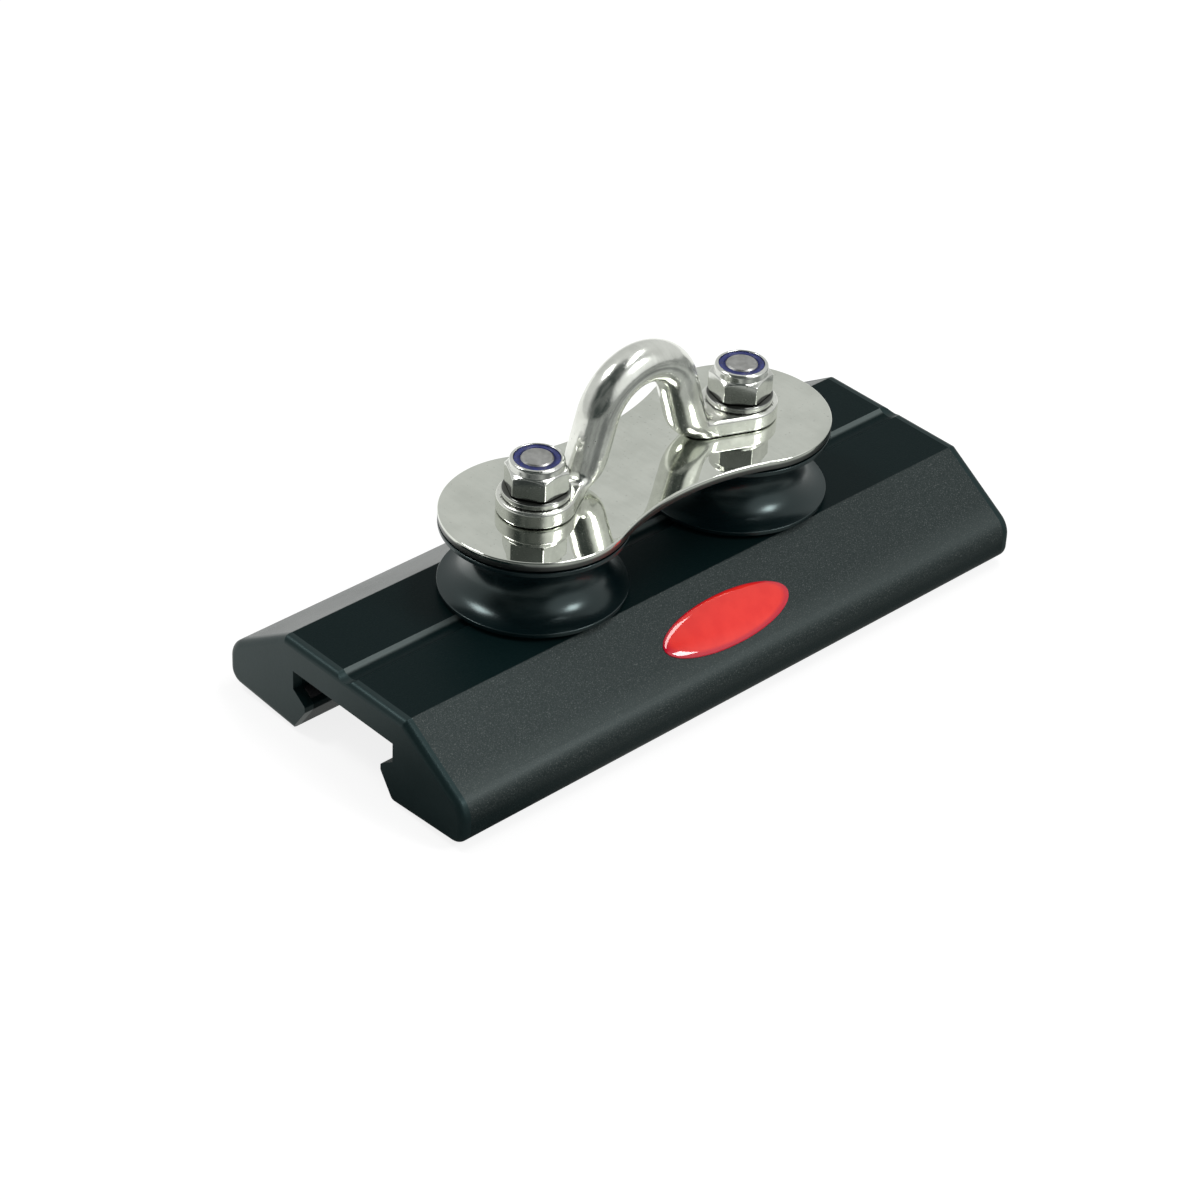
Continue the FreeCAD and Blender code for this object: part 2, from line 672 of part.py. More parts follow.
make_car_body()
make_end_cap("end_cap_left", -1)
make_end_cap("end_cap_right", 1)
for far, side in (("near", "-"), ("far", "")):
    make_slide_rod("slide_rod_upper_" + far, side, "upper_lane")
    make_slide_rod("slide_rod_lower_" + far, side, "lower_lane")
for end, x_rule in (("left", "-bolt_x"), ("right", "bolt_x")):
    make_axle_bolt("axle_bolt_" + end, x_rule)
    make_ring("sheave_spacer_" + end, x_rule, "bolt_hole", "spacer_radius", "body_height", "spacer_top")
    make_ring("sheave_bush_" + end, x_rule, "bolt_hole", "bush_radius", "spacer_top", "plate_base")
    make_sheave("sheave_" + end, x_rule)
    make_ring("nut_washer_" + end, x_rule, "bolt_hole", "washer_radius", "palm_top", "washer_top")
    make_lock_nut("lock_nut_" + end, x_rule, end + "_nut_turn")
    make_ring(
        "nut_insert_" + end,
        x_rule,
        "bolt_radius + thread_fit",
        "insert_radius",
        "nut_top - insert_sunk - insert_height",
        "nut_top - insert_sunk",
    )
make_top_plate()
make_bow()
make_badge()
doc.recompute()

# Every object has to be sound before anything is written
for item in doc.Objects:
    if "Invalid" in item.State or "Error" in item.State:
        raise RuntimeError("%s failed: %s" % (item.Name, item.State))
for piece in PIECES:
    if piece.Shape.isNull() or not piece.Shape.isValid() or piece.Shape.Volume <= 0:
        raise RuntimeError("%s has no sound shape" % piece.Label)
os.makedirs("parts", exist_ok=True)
for piece in PIECES:
    piece.Shape.exportStep("parts/%s.step" % piece.Label)
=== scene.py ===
import math
import bmesh
import bpy
import numpy as np
from mathutils import Matrix, Vector


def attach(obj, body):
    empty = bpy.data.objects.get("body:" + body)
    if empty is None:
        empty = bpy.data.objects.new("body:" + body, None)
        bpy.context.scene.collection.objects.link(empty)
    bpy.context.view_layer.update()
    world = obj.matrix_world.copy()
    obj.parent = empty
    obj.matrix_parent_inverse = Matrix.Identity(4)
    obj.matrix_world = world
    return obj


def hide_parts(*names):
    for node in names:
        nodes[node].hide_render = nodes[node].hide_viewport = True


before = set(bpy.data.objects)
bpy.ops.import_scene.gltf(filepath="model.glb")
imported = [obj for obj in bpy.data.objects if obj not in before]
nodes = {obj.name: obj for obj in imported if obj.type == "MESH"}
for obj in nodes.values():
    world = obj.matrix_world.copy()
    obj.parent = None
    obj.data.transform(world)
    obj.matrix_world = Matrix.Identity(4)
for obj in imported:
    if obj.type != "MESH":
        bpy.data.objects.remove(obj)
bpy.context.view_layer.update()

# The traveller car, dressed in the order it is put together. The sizes of its pieces are in millimetres,
# as a machinist would write them.


# ---- Viewpoint: high over the near left corner of the car, 0.83 m away, through a long lens.
# The camera leans a little to one side.
MM = 0.001
VIEW_TURN, VIEW_TILT, VIEW_LEAN = math.radians(-44.244), math.radians(35.141), math.radians(2.784)
VIEW_PLACE = (-478.55, -480.92, 482.87)
back = Vector((
    math.sin(VIEW_TURN) * math.cos(VIEW_TILT),
    -math.cos(VIEW_TURN) * math.cos(VIEW_TILT),
    math.sin(VIEW_TILT),
))
level = Vector((math.cos(VIEW_TURN), math.sin(VIEW_TURN), 0.0))
upright = back.cross(level)
across = level * math.cos(VIEW_LEAN) + upright * math.sin(VIEW_LEAN)
above = upright * math.cos(VIEW_LEAN) - level * math.sin(VIEW_LEAN)
viewpoint = bpy.data.objects.new("viewpoint", bpy.data.cameras.new("viewpoint"))
viewpoint.data.lens = 107.18
viewpoint.data.sensor_width = 36.0
viewpoint.data.clip_end = 50.0
viewpoint.matrix_world = Matrix.Translation(Vector(VIEW_PLACE) * MM) @ Matrix(
    (across, above, back)
).transposed().to_4x4()
bpy.context.scene.collection.objects.link(viewpoint)
bpy.context.scene.camera = viewpoint


# ---- Studio: a pale sweep of floor, soft lamps high on both sides, a long one above, and an even pale room.
# Polished steel shows pale walls, a pale panel before the car and the dim, uneven room behind the lens.
class Signal:
    """A socket in a finish. Arithmetic on signals adds Math nodes to that finish."""

    def __init__(self, finish, socket):
        self.finish = finish
        self.socket = socket

    def maths(self, operation, first, second=0.0):
        return self.finish.node("Math", {"operation": operation}, {0: first, 1: second})

    def __add__(self, other):
        return self.maths("ADD", self, other)

    def __radd__(self, other):
        return self.maths("ADD", other, self)

    def __sub__(self, other):
        return self.maths("SUBTRACT", self, other)

    def __rsub__(self, other):
        return self.maths("SUBTRACT", other, self)

    def __mul__(self, other):
        return self.maths("MULTIPLY", self, other)

    def __rmul__(self, other):
        return self.maths("MULTIPLY", other, self)

    def larger(self, other):
        return self.maths("MAXIMUM", self, other)

    def wave(self):
        return self.maths("SINE", self)

    def size(self):
        return self.maths("ABSOLUTE", self)

    def between(self, start, stop):
        """0 below start, 1 above stop and smooth between them."""
        limits = {"Value": self, "From Min": start, "From Max": stop}
        return self.finish.node("MapRange", {"interpolation_type": "SMOOTHSTEP"}, limits)

    def blend(self, first, second):
        """The first colour where this is 0, the second where it is 1, by the Mix node's colour sockets."""
        return self.finish.node("Mix", {"data_type": "RGBA"}, {0: self, 6: first, 7: second}, 2)


class Finish:
    """The nodes of one material, or of the room."""

    def __init__(self, owner):
        owner.use_nodes = True
        self.owner = owner
        self.tree = owner.node_tree
        self.tree.nodes.clear()

    def node(self, kind, settings=None, inputs=None, output=0):
        added = self.tree.nodes.new("ShaderNode" + kind)
        for word, choice in (settings or {}).items():
            setattr(added, word, choice)
        for key, given in (inputs or {}).items():
            if isinstance(given, Signal):
                self.tree.links.new(given.socket, added.inputs[key])
            else:
                added.inputs[key].default_value = given
        return Signal(self, added.outputs[output]) if len(added.outputs) else added

    def vector(self, operation, first, second=(0.0, 0.0, 0.0), output="Vector"):
        return self.node("VectorMath", {"operation": operation}, {0: first, 1: second}, output)

    def ray(self, kind):
        return self.node("LightPath", output="Is " + kind + " Ray")

    def place(self):
        """Where a point lies on the piece, in metres."""
        return self.node("TexCoord", output="Object")

    def along(self, axis):
        return self.node("SeparateXYZ", inputs={0: self.place()}, output=axis)

    def stretched(self, x, y, z):
        return self.vector("MULTIPLY", self.place(), (x, y, z))

    def mottle(self, scale, detail=2.0, place=None):
        inputs = {"Vector": place or self.place(), "Scale": scale, "Detail": detail}
        return self.node("TexNoise", {"noise_dimensions": "3D"}, inputs)

    def relief(self, height, depth, strength=1.0):
        """Bump of this depth in metres."""
        return self.node("Bump", inputs={"Height": height, "Distance": depth, "Strength": strength})

    def shader(self, inputs):
        return self.node("BsdfPrincipled", inputs=inputs)

    def cover(self, shader):
        self.node("OutputMaterial", inputs={"Surface": shader})


def new_finish(name):
    return Finish(bpy.data.materials.new(name))


room = Finish(bpy.data.worlds.new("room"))
bpy.context.scene.world = room.owner
WHITE = (1.0, 1.0, 1.0, 1.0)
ROOM_LIGHT, PALE_WALL = (0.42, 0.42, 0.42, 1.0), (0.66, 0.67, 0.66, 1.0)
DIM_WALL, DIM_CORNER = (0.13, 0.14, 0.135, 1.0), (0.035, 0.045, 0.043, 1.0)
PANEL_PLACE, PANEL_TONE = (0.225, -0.86, 0.46), (0.98, 1.0, 0.99, 1.0)


def towards(direction):
    """1 in this direction from the car, 0 across it and less than 0 on the other side."""
    return room.vector("DOT_PRODUCT", room.node("TexCoord"), direction, output="Value")


seen = room.ray("Camera").larger(room.ray("Transmission"))
clutter = room.mottle(2.6, 1.0, room.node("TexCoord")).between(0.42, 0.60)
walls = clutter.blend(DIM_CORNER, DIM_WALL)
walls = towards(tuple(back)).between(0.25, 0.70).blend(PALE_WALL, walls)
walls = towards(PANEL_PLACE).between(0.78, 0.95).blend(walls, PANEL_TONE)
tone = room.ray("Glossy").blend(seen.blend(ROOM_LIGHT, WHITE), walls)
glow = room.node("Background", inputs={"Color": tone, "Strength": 1.0})
room.node("OutputWorld", inputs={"Surface": glow})

# The floor glows for the lens, so that it stays white, and keeps a faint shadow. Steel sees it dim in front
# of the car and pale behind it.
FLOOR_REACH, FLOOR_LEVEL = 4.0, -0.0003
sweep = new_finish("pale_floor")
seen, mirrored = sweep.ray("Camera").larger(sweep.ray("Transmission")), sweep.ray("Glossy")
in_front = sweep.mottle(9.0, 1.0).between(0.42, 0.62).blend((0.03, 0.04, 0.038, 1.0), (0.38, 0.40, 0.38, 1.0))
tone = sweep.along("Y").between(-20 * MM, 60 * MM).blend(in_front, (0.95, 0.96, 0.94, 1.0))
matt = sweep.node("BsdfDiffuse", inputs={"Color": (0.9, 0.9, 0.9, 1.0), "Roughness": 0.5})
glow = sweep.node("Emission", inputs={"Color": mirrored.blend(WHITE, tone), "Strength": 1.15})
sweep.cover(sweep.node("MixShader", inputs={0: (seen * 0.72).larger(mirrored * 0.85), 1: matt, 2: glow}))

ground = bpy.data.meshes.new("floor")
ground.from_pydata([
    (-FLOOR_REACH, -FLOOR_REACH, FLOOR_LEVEL), (FLOOR_REACH, -FLOOR_REACH, FLOOR_LEVEL),
    (FLOOR_REACH, FLOOR_REACH, FLOOR_LEVEL), (-FLOOR_REACH, FLOOR_REACH, FLOOR_LEVEL),
], [], [(0, 1, 2, 3)])
ground.materials.append(sweep.owner)
floor = bpy.data.objects.new("floor", ground)
bpy.context.scene.collection.objects.link(floor)


def hang_lamp(name, direction, length, width, run, power):
    """A soft lamp a metre away, its long side lying along run."""
    lamp = bpy.data.lights.new(name, "AREA")
    lamp.shape = "RECTANGLE"
    lamp.size, lamp.size_y = length, width
    lamp.energy = power
    hung = bpy.data.objects.new(name, lamp)
    aim = Vector(direction).normalized()
    side = Vector(run)
    side = (side - aim * side.dot(aim)).normalized()
    hung.matrix_world = Matrix.Translation(aim) @ Matrix((side, aim.cross(side), aim)).transposed().to_4x4()
    bpy.context.scene.collection.objects.link(hung)


hang_lamp("lamp_right", (0.30, -0.67, 0.68), 0.23, 0.23, (0.67, 0.30, 0.0), 2.5)
hang_lamp("lamp_left", (-0.31, 0.46, 0.83), 0.23, 0.23, (-0.46, -0.31, 0.0), 2.4)
hang_lamp("lamp_above", (0.27, -0.12, 0.95), 0.60, 0.16, (0.69, 0.72, 0.0), 2.6)


# ---- Car body: one sawn length of extruded aluminium, bead-blasted and hard anodised black.
# The sloped sides keep the grain of the blasting, with painted glints as pale specks, and a painted highlight
# as a lighter band along the fold above the foot. The top and the foot take a darker copy that hardly shines,
# which is painted shade, and one wall of the groove carries a painted highlight.
TOP_HALF, GROOVE_HALF, FOLD_LEVEL = 20.0, 2.5, 12.5


def dress(finish, *names):
    for name in names:
        for slot in nodes[name].material_slots:
            slot.material = finish.owner


anodising = new_finish("black_anodising")
blast = anodising.mottle(2600.0, 2.0)
grain_and_glints = anodising.mottle(3600.0, 1.0).between(0.56, 0.72)
cloud = anodising.mottle(55.0, 3.0)
aside, height = anodising.along("Y"), anodising.along("Z")
in_groove = 1 - aside.between(GROOVE_HALF * MM, (GROOVE_HALF + 0.12) * MM)
groove_wall_highlight = aside.between(0.9 * MM, 1.9 * MM) * in_groove * height.between(20 * MM, 22 * MM)
fold = height.between(10.0 * MM, FOLD_LEVEL * MM) * (1 - height.between(FOLD_LEVEL * MM, 16.0 * MM))
far_side = aside.between((TOP_HALF - 0.2) * MM, (TOP_HALF + 1.0) * MM)
on_top = 1 - aside.size().between(TOP_HALF * MM, (TOP_HALF + 0.4) * MM)
foot = 1 - height.between(6.0 * MM, 10.5 * MM)
dye = blast.between(0.35, 0.70).blend((0.0050, 0.0105, 0.0105, 1.0), (0.017, 0.0230, 0.0225, 1.0))
# Painted glints: pale specks of the blasted grain are mixed into the dye; the same noise also roughens the
# bump.
dye = (grain_and_glints * 0.5).blend(dye, (0.105, 0.115, 0.112, 1.0))
# Painted highlight: the far wall of the groove is painted lighter, and it keeps the shining finish below.
dye = (groove_wall_highlight * 0.8).blend(dye, (0.10, 0.125, 0.122, 1.0))
# Painted highlight: a lighter band of dye along the fold above the foot.
dye = (fold * 0.4).blend(dye, (0.050, 0.062, 0.060, 1.0))
# Painted shade: a darker copy of the anodising that hardly shines, put on the top and, in part, on the foot.
shaded_dye = blast.between(0.3, 0.8).blend((0.0022, 0.0085, 0.0090, 1.0), (0.0045, 0.0120, 0.0125, 1.0))
pits = anodising.relief(blast + grain_and_glints * 0.4, 0.00004, 0.6)
slopes = anodising.shader({
    "Base Color": dye, "Roughness": 0.36 + cloud * 0.10 - far_side * 0.10, "Specular IOR Level": 0.35,
    "Specular Tint": (0.86, 1.0, 0.99, 1.0), "Normal": pits,
})
shaded_anodising = anodising.shader({
    "Base Color": shaded_dye, "Roughness": 0.34 + cloud * 0.08, "Specular IOR Level": 0.05, "Normal": pits,
})
shaded_share = (on_top * (1 - groove_wall_highlight)).larger(foot * 0.7)
anodising.cover(anodising.node("MixShader", inputs={0: shaded_share, 1: slopes, 2: shaded_anodising}))
dress(anodising, "car_body")


# ---- End caps: black mouldings pressed on to both sawn ends, their outer edges rounded over.
# Two pegs hold each of them, and they close the lanes of the slide rods.
moulding = new_finish("cap_moulding")
texture = moulding.mottle(1900.0, 3.0)
flow = moulding.mottle(90.0, 2.0)
moulding.cover(moulding.shader({
    "Base Color": flow.between(0.3, 0.7).blend((0.0030, 0.0100, 0.0105, 1.0), (0.0055, 0.0130, 0.0135, 1.0)),
    "Roughness": 0.34 + texture * 0.08, "Specular IOR Level": 0.32,
    "Specular Tint": (0.66, 0.96, 0.97, 1.0), "Normal": moulding.relief(texture, 0.00002, 0.5),
}))
dress(moulding, "end_cap_left", "end_cap_right")


# ---- Slide rods: four drawn rods of black acetal that lie loose in lanes at the corners of the channel.
# The car runs on them, and the end caps keep them in.
acetal = new_finish("black_acetal")
drawn = acetal.mottle(700.0, 3.0, acetal.stretched(0.06, 1.0, 1.0))
acetal.cover(acetal.shader({
    "Base Color": drawn.blend((0.014, 0.014, 0.015, 1.0), (0.030, 0.030, 0.032, 1.0)),
    "Roughness": 0.24 + drawn * 0.14, "Normal": acetal.relief(drawn, 0.00002, 0.5),
}))
dress(acetal, "slide_rod_upper_near", "slide_rod_upper_far", "slide_rod_lower_near", "slide_rod_lower_far")


# ---- Axle bolts, spacers and bushes: turned from stainless bar. Fine rings run round them from the tool.
# Each bolt comes up from the roof of the channel, through a spacer and the bush that its sheave turns on.
BOLT_X = 31.4
ENDS = (("left", -BOLT_X), ("right", BOLT_X))
TURNED_DARK, TURNED_BRIGHT = (0.30, 0.30, 0.29, 1.0), (0.46, 0.46, 0.45, 1.0)
for end, bolt_x in ENDS:
    turned = new_finish("turned_steel_" + end)
    from_bolt = turned.vector("SUBTRACT", turned.place(), (bolt_x * MM, 0.0, 0.0))
    from_bolt = turned.vector("MULTIPLY", from_bolt, (1.0, 1.0, 0.0))
    radius = turned.vector("LENGTH", from_bolt, output="Value")
    rings = ((radius + turned.along("Z")) * 26000.0).wave() * 0.5 + 0.5
    uneven = turned.mottle(900.0, 3.0)
    stain = turned.mottle(260.0, 4.0)
    turned.cover(turned.shader({
        "Base Color": (stain * 0.6 + uneven * 0.4).between(0.3, 0.7).blend(TURNED_DARK, TURNED_BRIGHT),
        "Metallic": 1.0, "Roughness": 0.30 + uneven * 0.14,
        "Normal": turned.relief(rings * 0.5 + uneven * 0.5, 0.00003, 0.5),
    }))
    dress(turned, "axle_bolt_" + end, "sheave_spacer_" + end, "sheave_bush_" + end)


# ---- Sheaves: turned with a deep round groove for the line, dyed black and polished.
# Each spins on its bush, between its spacer and the plate.
SHEAVE_BORE, SHEAVE_RIM, SHEAVE_WAIST = 7.06, 21.7, 14.5
SHEAVE_LOW, SHEAVE_HIGH, RIM_HEIGHT = 24.75, 42.0, 1.1
BORE_EDGE, RIM_EDGE = 0.3, 0.22


def ease(corners, steps=6):
    """Closed outline from corners of (reach, height, rounding): its points and its outward normals."""
    points, normals = [], []
    for index, (reach, height, rounding) in enumerate(corners):
        here = np.array((reach, height))
        before = np.array(corners[index - 1][:2])
        after = np.array(corners[(index + 1) % len(corners)][:2])
        arriving = (here - before) / np.linalg.norm(here - before)
        leaving = (after - here) / np.linalg.norm(after - here)
        first = np.array((arriving[1], -arriving[0]))
        last = np.array((leaving[1], -leaving[0]))
        turn = math.atan2(arriving[0] * leaving[1] - arriving[1] * leaving[0], arriving @ leaving)
        if not rounding:
            middle = first + last
            points.append(here)
            normals.append(middle / np.linalg.norm(middle))
            continue
        side = math.copysign(1.0, turn)
        centre = here - arriving * rounding * math.tan(abs(turn) / 2) - first * rounding * side
        for step in range(steps + 1):
            angle = turn * step / steps
            swung = np.array((
                first[0] * math.cos(angle) - first[1] * math.sin(angle),
                first[0] * math.sin(angle) + first[1] * math.cos(angle),
            ))
            points.append(centre + swung * rounding * side)
            normals.append(swung)
    return np.array(points), np.array(normals)


def make_piece(name, corners, faces, normals, finish, body, node):
    """A piece from corners in millimetres, smooth-shaded by the normals given, in the place of a node."""
    mesh = bpy.data.meshes.new(name)
    mesh.from_pydata((np.asarray(corners) * MM).tolist(), [], [list(map(int, face)) for face in faces])
    mesh.polygons.foreach_set("use_smooth", [True] * len(mesh.polygons))
    mesh.normals_split_custom_set_from_vertices(np.asarray(normals).tolist())
    mesh.materials.append(finish.owner)
    piece = bpy.data.objects.new(name, mesh)
    bpy.context.scene.collection.objects.link(piece)
    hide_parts(node)
    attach(piece, body)


def turn_piece(name, outline, x, finish, body, node, segments=160):
    """An eased outline turned about the upright axis at x."""
    points, normals = outline
    angles = np.arange(segments) * (2 * math.pi / segments)
    outward = np.stack([np.cos(angles), np.sin(angles)], axis=1)
    corners = np.zeros((segments, len(points), 3))
    facing = np.zeros((segments, len(points), 3))
    corners[..., :2] = (float(x), 0.0) + points[None, :, :1] * outward[:, None]
    corners[..., 2] = points[None, :, 1]
    facing[..., :2] = normals[None, :, :1] * outward[:, None]
    facing[..., 2] = normals[None, :, 1]
    number = np.arange(segments * len(points)).reshape(segments, len(points))
    along = np.roll(number, -1, axis=0)
    quads = np.stack([number, along, np.roll(along, -1, axis=1), np.roll(number, -1, axis=1)], axis=-1)
    make_piece(
        name, corners.reshape(-1, 3), quads.reshape(-1, 4), facing.reshape(-1, 3), finish, body, node
    )


def sheave_outline():
    half = (SHEAVE_HIGH - SHEAVE_LOW) / 2 - RIM_HEIGHT
    middle = (SHEAVE_HIGH + SHEAVE_LOW) / 2
    depth = SHEAVE_RIM - SHEAVE_WAIST
    hollow = (half ** 2 + depth ** 2) / (2 * depth)
    widest = math.asin(half / hollow)
    corners = [
        (SHEAVE_BORE, SHEAVE_LOW, BORE_EDGE),
        (SHEAVE_RIM, SHEAVE_LOW, RIM_EDGE),
        (SHEAVE_RIM, SHEAVE_LOW + RIM_HEIGHT, RIM_EDGE),
    ]
    for step in range(1, 40):
        angle = widest * (step / 20 - 1)
        corners.append((SHEAVE_WAIST + hollow * (1 - math.cos(angle)), middle + hollow * math.sin(angle), 0))
    corners += [
        (SHEAVE_RIM, SHEAVE_HIGH - RIM_HEIGHT, RIM_EDGE),
        (SHEAVE_RIM, SHEAVE_HIGH, RIM_EDGE),
        (SHEAVE_BORE, SHEAVE_HIGH, BORE_EDGE),
    ]
    return ease(corners, 4)


for end, bolt_x in ENDS:
    gloss = new_finish("sheave_black_" + end)
    swirl = gloss.mottle(420.0, 3.0, gloss.stretched(1.0, 1.0, 7.0))
    haze = gloss.mottle(70.0, 2.0)
    colour = haze.between(0.35, 0.65).blend((0.0012, 0.0058, 0.0070, 1.0), (0.0028, 0.0085, 0.0098, 1.0))
    gloss.cover(gloss.shader({
        "Base Color": colour,
        "Roughness": 0.21 + haze * 0.05, "Specular IOR Level": 0.62, "Specular Tint": (0.80, 1.0, 1.0, 1.0),
        "Normal": gloss.relief(swirl, 0.000006, 0.5),
    }))
    turn_piece(
        "turned_sheave_" + end, sheave_outline(), bolt_x, gloss,
        end + "_sheave", "sheave_" + end,
    )


# ---- Top plate: dog-bone of 2.35 mm stainless sheet, its edge rolled smooth and its faces mirror-polished.
# It lies on both bushes, and the bolts come up through it.
PLATE_BASE, PLATE_TOP = 42.4, 44.75
PLATE_RADIUS, PLATE_WAIST, PLATE_EDGE, PLATE_SHADE_LINE = 21.7, 15.5, 0.42, 43.9
BOLT_HOLE = 4.1
SPECK, SHADED_STEEL, SEAM_SHADE = (0.30, 0.31, 0.30, 1.0), (0.15, 0.155, 0.148, 1.0), (0.03, 0.033, 0.03, 1.0)


def polished_finish(name, dark, bright, roughness, ripple, shade_below=0.0, shaded_seams=()):
    """Polished stainless steel: faint buffing marks, specks and a slow ripple. Below one level it is rougher
    and painted darker as shade, and at other levels painted shade darkens the joins with other parts."""
    finish = new_finish(name)
    buffed = finish.mottle(900.0, 3.0, finish.stretched(1.0, 0.10, 0.35))
    specks = finish.mottle(1500.0, 1.0).between(0.70, 0.76)
    cloud = finish.mottle(120.0, 3.0)
    waves = finish.mottle(170.0, 3.0)
    colour = (cloud * 0.8 + buffed * 0.2).between(0.3, 0.7).blend(dark, bright)
    colour = (specks * 0.35).blend(colour, SPECK)
    rough_and_shaded = 1 - finish.along("Z").between((shade_below - 0.4) * MM, (shade_below + 0.3) * MM)
    # Painted shade: below that level the steel is painted darker, and it is also rougher.
    colour = rough_and_shaded.blend(colour, SHADED_STEEL)
    # Painted shade: the steel is darkened in a narrow band at each level where it meets another part.
    for shaded_seam in shaded_seams:
        gap = (finish.along("Z") - shaded_seam * MM).size()
        colour = (0.9 - gap.between(0.08 * MM, 0.42 * MM) * 0.9).blend(colour, SEAM_SHADE)
    finish.cover(finish.shader({
        "Base Color": colour, "Metallic": 1.0,
        "Roughness": roughness + cloud * 0.035 + specks * 0.15 + rough_and_shaded * 0.35,
        "Normal": finish.relief(waves * ripple + buffed * 0.0010, 0.001, 1.0),
    }))
    return finish


def plate_path():
    """Points round the edge of the plate and the directions out of it."""
    hollow = (BOLT_X ** 2 + PLATE_WAIST ** 2 - PLATE_RADIUS ** 2) / (2 * (PLATE_RADIUS - PLATE_WAIST))
    away = PLATE_WAIST + hollow
    meet = math.atan2(away, BOLT_X)
    round_end = math.pi - meet
    spots, outward = [], []

    def add_arc(centre, radius, start, stop, count, side):
        for step in range(count):
            angle = start + (stop - start) * step / count
            ray = np.array((math.cos(angle), math.sin(angle)))
            spots.append(np.array(centre) + ray * radius)
            outward.append(ray * side)

    add_arc((BOLT_X, 0.0), PLATE_RADIUS, -round_end, round_end, 150, 1)
    add_arc((0.0, away), hollow, -meet, meet - math.pi, 50, -1)
    add_arc((-BOLT_X, 0.0), PLATE_RADIUS, meet, 2 * math.pi - meet, 150, 1)
    add_arc((0.0, -away), hollow, math.pi - meet, meet, 50, -1)
    return np.array(spots), np.array(outward)


# The rolled edge, as (reach, height, out, up): where it lies and which way it faces
rim = []
for angle in np.linspace(-math.pi / 2, math.pi / 2, 13):
    lift = PLATE_TOP - PLATE_EDGE if angle >= 0 else PLATE_BASE + PLATE_EDGE
    out, up = math.cos(angle), math.sin(angle)
    rim.append((PLATE_EDGE * (out - 1), lift + PLATE_EDGE * up, out, up))
loops = [plate_path()]
angles = np.arange(72) * (2 * math.pi / 72)
for _, bolt_x in ENDS:
    ray = np.stack([np.cos(-angles), np.sin(-angles)], axis=1)
    loops.append((np.array((bolt_x, 0.0)) + ray * BOLT_HOLE, -ray))
corners, faces, normals, borders = [], [], [], []
for spots, outward in loops:
    start, rounds, count = len(corners), len(spots), len(rim)
    for spot, ray in zip(spots, outward):
        for reach, height, out, up in rim:
            corners.append((*(spot + ray * reach), height))
            normals.append((*(ray * out), up))
    number = np.arange(rounds * count).reshape(rounds, count) + start
    along = np.roll(number, -1, axis=0)
    strip = np.stack([number[:, :-1], along[:, :-1], along[:, 1:], number[:, 1:]], axis=-1)
    faces += strip.reshape(-1, 4).tolist()
    borders.append(number[:, 0].tolist())
    borders.append(number[:, -1].tolist())
shell = bmesh.new()
shell_corners = [shell.verts.new(corner) for corner in corners]
for face in faces:
    shell.faces.new([shell_corners[index] for index in face])
shell.edges.index_update()
for side in (0, 1):
    rings = []
    for ring in borders[side::2]:
        for index, corner in enumerate(ring):
            pair = (shell_corners[corner], shell_corners[ring[(index + 1) % len(ring)]])
            rings.append(shell.edges.get(pair))
    bmesh.ops.triangle_fill(shell, use_beauty=True, edges=rings, normal=(0, 0, 2 * side - 1))
shell.verts.index_update()
faces = [[corner.index for corner in face.verts] for face in shell.faces]
shell.free()
# The lower half of the rolled edge and the underside are rougher and painted darker as shade.
plate_steel = polished_finish(
    "plate_steel", (0.64, 0.66, 0.605, 1.0), (0.74, 0.76, 0.70, 1.0), 0.015, 0.010, shade_below=PLATE_SHADE_LINE
)
make_piece("polished_plate", corners, faces, normals, plate_steel, "car", "top_plate")


# ---- Bow: 9.7 mm round stainless bar, bent to an arch that stands 1.5 mm to the left. Both ends are forged
# down into flat straps that widen to an eye for the bolt. The whole is polished by hand, a little unevenly.
BAR, CROWN_BEND, SPLAY, FOOT_BEND, ARCH_X = 4.85, 12.75, math.radians(17.0), 5.0, -1.5
CROWN_LEVEL, BEND_LEVEL, PALM_TOP = 57.85, 54.6, 49.0
PALM_RADIUS, STRAP_EDGE, STRAP_START, EYE_SEAT = 9.0, 0.8, 2.5, 8.1
LEG_TOP = np.array((CROWN_BEND * math.cos(SPLAY), CROWN_LEVEL + CROWN_BEND * math.sin(SPLAY)))
LEG_LOW_Z = BEND_LEVEL - FOOT_BEND * math.sin(SPLAY)
LEG_LOW = np.array((LEG_TOP[0] + (LEG_TOP[1] - LEG_LOW_Z) * math.tan(SPLAY), LEG_LOW_Z))
BEND_X = LEG_LOW[0] + FOOT_BEND * math.cos(SPLAY)


def merge(first, second, width):
    """Two bodies grown together with a fillet of about this width."""
    share = np.clip(0.5 + 0.5 * (second - first) / width, 0.0, 1.0)
    return second + (first - second) * share - width * share * (1.0 - share)


def common(first, second, width):
    """What two bodies share, its edges eased."""
    return -merge(-first, -second, width)


def rounded(over, above):
    """Distance past a corner of two faces, from the distance past each of them."""
    return np.hypot(np.maximum(over, 0.0), np.maximum(above, 0.0)) + np.minimum(np.maximum(over, above), 0.0)


